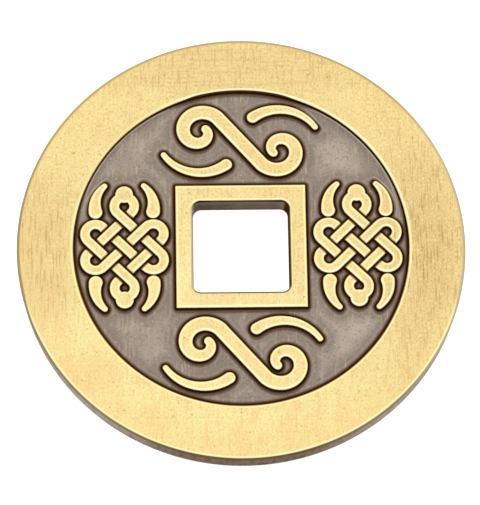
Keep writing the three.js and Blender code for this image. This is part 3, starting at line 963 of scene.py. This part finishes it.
def patina():
    """Satin patina with near-black wall feet, which are partly patina in the hollows and partly painted
    shade, and a painted shadow on the field below the near side of each wall.

    On the far flanks the feet narrow to a thin line with a painted highlight beside it."""
    s = Shader("dark_patina")
    flank = s.times(s.span(s.off_zero(s.x), *FLANK_X), s.span(s.y, *FLANK_Y))
    flank = s.times(flank, s.span(s.radius, *FLANK_RADIUS))
    gap = s.math("ADD", s.stored("wall_gap"), s.times(flank, FLANK_SHIFT))
    streak = s.noise(0.4, detail=3, stretch=(1, 6, 6), shift=4)
    grain = s.noise(0.2, shift=9)
    tone = rubbed_patina(s, gap, streak, grain)
    # A painted highlight beside the wall feet, faint in general and stronger on the far flanks
    fading = s.ramp(gap, s.ramp(flank, 0, 1, 0.65, 0.5), s.ramp(flank, 0, 1, 0.45, 0.42))
    foot_highlight = s.times(s.ramp(gap, 0.28, s.ramp(flank, 0, 1, 0.42, 0.36)), fading)
    tone = s.mix(s.times(foot_highlight, s.ramp(flank, 0, 1, 0.25, 0.9)), tone, PAINTED_FOOT_HIGHLIGHT)
    shadow = s.times(s.ramp(s.stored("shadow_gap"), 0.2, -0.15, 0, 0.6), s.math("SUBTRACT", 1.0, flank))
    tone = s.mix(shadow, tone, PATINA_SHADOW)
    # Brown and near-black wall feet: partly patina in the hollows, partly painted shade
    tone = s.mix(s.ramp(gap, 0.1, 0.34), FOOT_PATINA_AND_SHADE_BROWN, tone)
    base = s.mix(s.ramp(gap, -0.02, 0.3), FOOT_PATINA_AND_SHADE_DARK, tone)
    s.bump(s.math("ADD", grain, streak), BUMP_DEPTH)
    s.surface.inputs["Specular IOR Level"].default_value = PATINA_GLOSS
    return s.finish(Base_Color=base, Metallic=PATINA_METAL, Roughness=s.ramp(streak, 0.3, 0.7, 0.52, 0.44))


# The object

def dress(piece, node, material):
    piece.data.materials.clear()
    piece.data.materials.append(material)
    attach(piece, "root")
    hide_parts(node)


def build_coin():
    relief_brass = brass("relief_brass", dark_wall)
    strokes, beads = [], []
    for place, turned in (("top", False), ("bottom", True)):
        for name, (marks, widths) in cloud_strokes().items():
            marks = half_turned(marks) if turned else marks
            strokes.append((marks, widths))
            node = f"{place}_cloud_{name}"
            dress(make_object(f"struck_{node}", stroke(marks, widths)), node, relief_brass)
    pitch, knot_x, loop_y, bead_y = knot_layout()
    for side, x in (("left", -knot_x), ("right", knot_x)):
        halves = [shifted(knot_half(pitch, loop_y, True), x),
                  shifted(mirrored(knot_half(pitch, loop_y, False)), x)]
        bands = [(marks, [KNOT_BAND] * len(marks)) for marks in halves]
        strokes += bands
        beads += [(x, bead_y), (x, -bead_y)]
        forms = [stroke(*band, round_ends=False) for band in bands]
        forms += [knot_bead(x, y) for y in (bead_y, -bead_y)]
        node = f"{side}_knot"
        knot = united([make_object(f"struck_{node}" if i == 0 else f"part_{i}", form)
                       for i, form in enumerate(forms)])
        dress(knot, node, relief_brass)
        for name, (marks, widths) in knot_leaves(knot_x, loop_y).items():
            marks = shifted(marks, x)
            strokes.append((marks, widths))
            node = f"{side}_knot_leaf_{name}"
            dress(make_object(f"struck_{node}", stroke(marks, widths)), node, relief_brass)
    dress(make_object("struck_rim", rim_form()), "outer_rim",
          brass("rim_brass", rim_wall))
    dress(make_object("struck_frame", frame_form()), "hole_frame",
          brass("frame_brass", frame_wall, FRAME_PAINTED_LIGHT_SPAN, FRAME_PAINTED_LIGHT))
    dress(field_object("sunken_field", strokes, beads), "field_web", patina())


# Studio

def build_floor():
    """A pale floor, which is white to the camera and in the metal, and keeps the coin's shadow."""
    corners = [(sx * FLOOR_HALF, sy * FLOOR_HALF, 0) for sx, sy in ((-1, -1), (1, -1), (1, 1), (-1, 1))]
    mesh = bpy.data.meshes.new("floor")
    mesh.from_pydata(corners, [], [(0, 1, 2, 3)])
    floor = bpy.data.objects.new("floor", mesh)
    bpy.context.scene.collection.objects.link(floor)
    s = Shader("floor")
    path = s.add("ShaderNodeLightPath")
    seen = s.most(path.outputs["Is Camera Ray"], path.outputs["Is Glossy Ray"])
    seen = s.most(seen, path.outputs["Is Transmission Ray"])
    s.surface.inputs["Specular IOR Level"].default_value = 0
    s.finish(Base_Color=FLOOR_TONE, Roughness=0.9, Emission_Color=(1, 1, 1, 1),
             Emission_Strength=s.times(seen, FLOOR_GLOW))
    mesh.materials.append(s.material)


def build_world():
    """A white surround, which lights the coin more softly than the camera and metal see it."""
    world = bpy.data.worlds.new("studio")
    bpy.context.scene.world = world
    world.use_nodes = True
    nodes, links = world.node_tree.nodes, world.node_tree.links
    background = nodes["Background"]
    background.inputs["Color"].default_value = (1, 1, 1, 1)
    path = nodes.new("ShaderNodeLightPath")
    seen = nodes.new("ShaderNodeMath")
    seen.operation = "MAXIMUM"
    links.new(path.outputs["Is Camera Ray"], seen.inputs[0])
    links.new(path.outputs["Is Glossy Ray"], seen.inputs[1])
    strength = nodes.new("ShaderNodeMapRange")
    links.new(seen.outputs[0], strength.inputs["Value"])
    strength.inputs["To Min"].default_value = WORLD_LEVEL
    strength.inputs["To Max"].default_value = 1
    links.new(strength.outputs[0], background.inputs["Strength"])


def build_lamp(name, place, size, radiance):
    """A square soft lamp, aimed at the coin, whose own brightness is radiance."""
    data = bpy.data.lights.new(name, "AREA")
    data.size = size
    data.energy = radiance * math.pi * size ** 2
    lamp = bpy.data.objects.new(name, data)
    lamp.location = place
    lamp.rotation_euler = (-Vector(place)).to_track_quat("-Z", "Y").to_euler()
    lamp.visible_glossy = False
    bpy.context.scene.collection.objects.link(lamp)


def build_camera():
    """The photograph's own view. The angles are azimuth, elevation and roll."""
    azimuth, elevation, roll = (math.radians(v) for v in CAMERA_ANGLES)
    back = Vector((math.sin(azimuth) * math.cos(elevation), -math.cos(azimuth) * math.cos(elevation),
                   math.sin(elevation)))
    level = Vector((math.cos(azimuth), math.sin(azimuth), 0))
    up = back.cross(level)
    right = level * math.cos(roll) + up * math.sin(roll)
    top = up * math.cos(roll) - level * math.sin(roll)
    data = bpy.data.cameras.new("camera")
    data.sensor_width = SENSOR
    data.lens = FOCAL_PIXELS * SENSOR / LONG_SIDE
    data.clip_start = CAMERA_CLIP * MM
    camera = bpy.data.objects.new("camera", data)
    turn = Matrix((right, top, back)).transposed().to_4x4()
    aim = Vector((*CAMERA_AIM, THICKNESS)) * MM
    camera.matrix_world = Matrix.Translation(aim + back * CAMERA_DISTANCE * MM) @ turn
    bpy.context.scene.collection.objects.link(camera)
    bpy.context.scene.camera = camera


build_coin()
build_floor()
build_world()
build_lamp("back_lamp", LAMP_PLACE, LAMP_SIZE, LAMP_RADIANCE)
build_camera()
bpy.context.scene.view_settings.view_transform = "Standard"
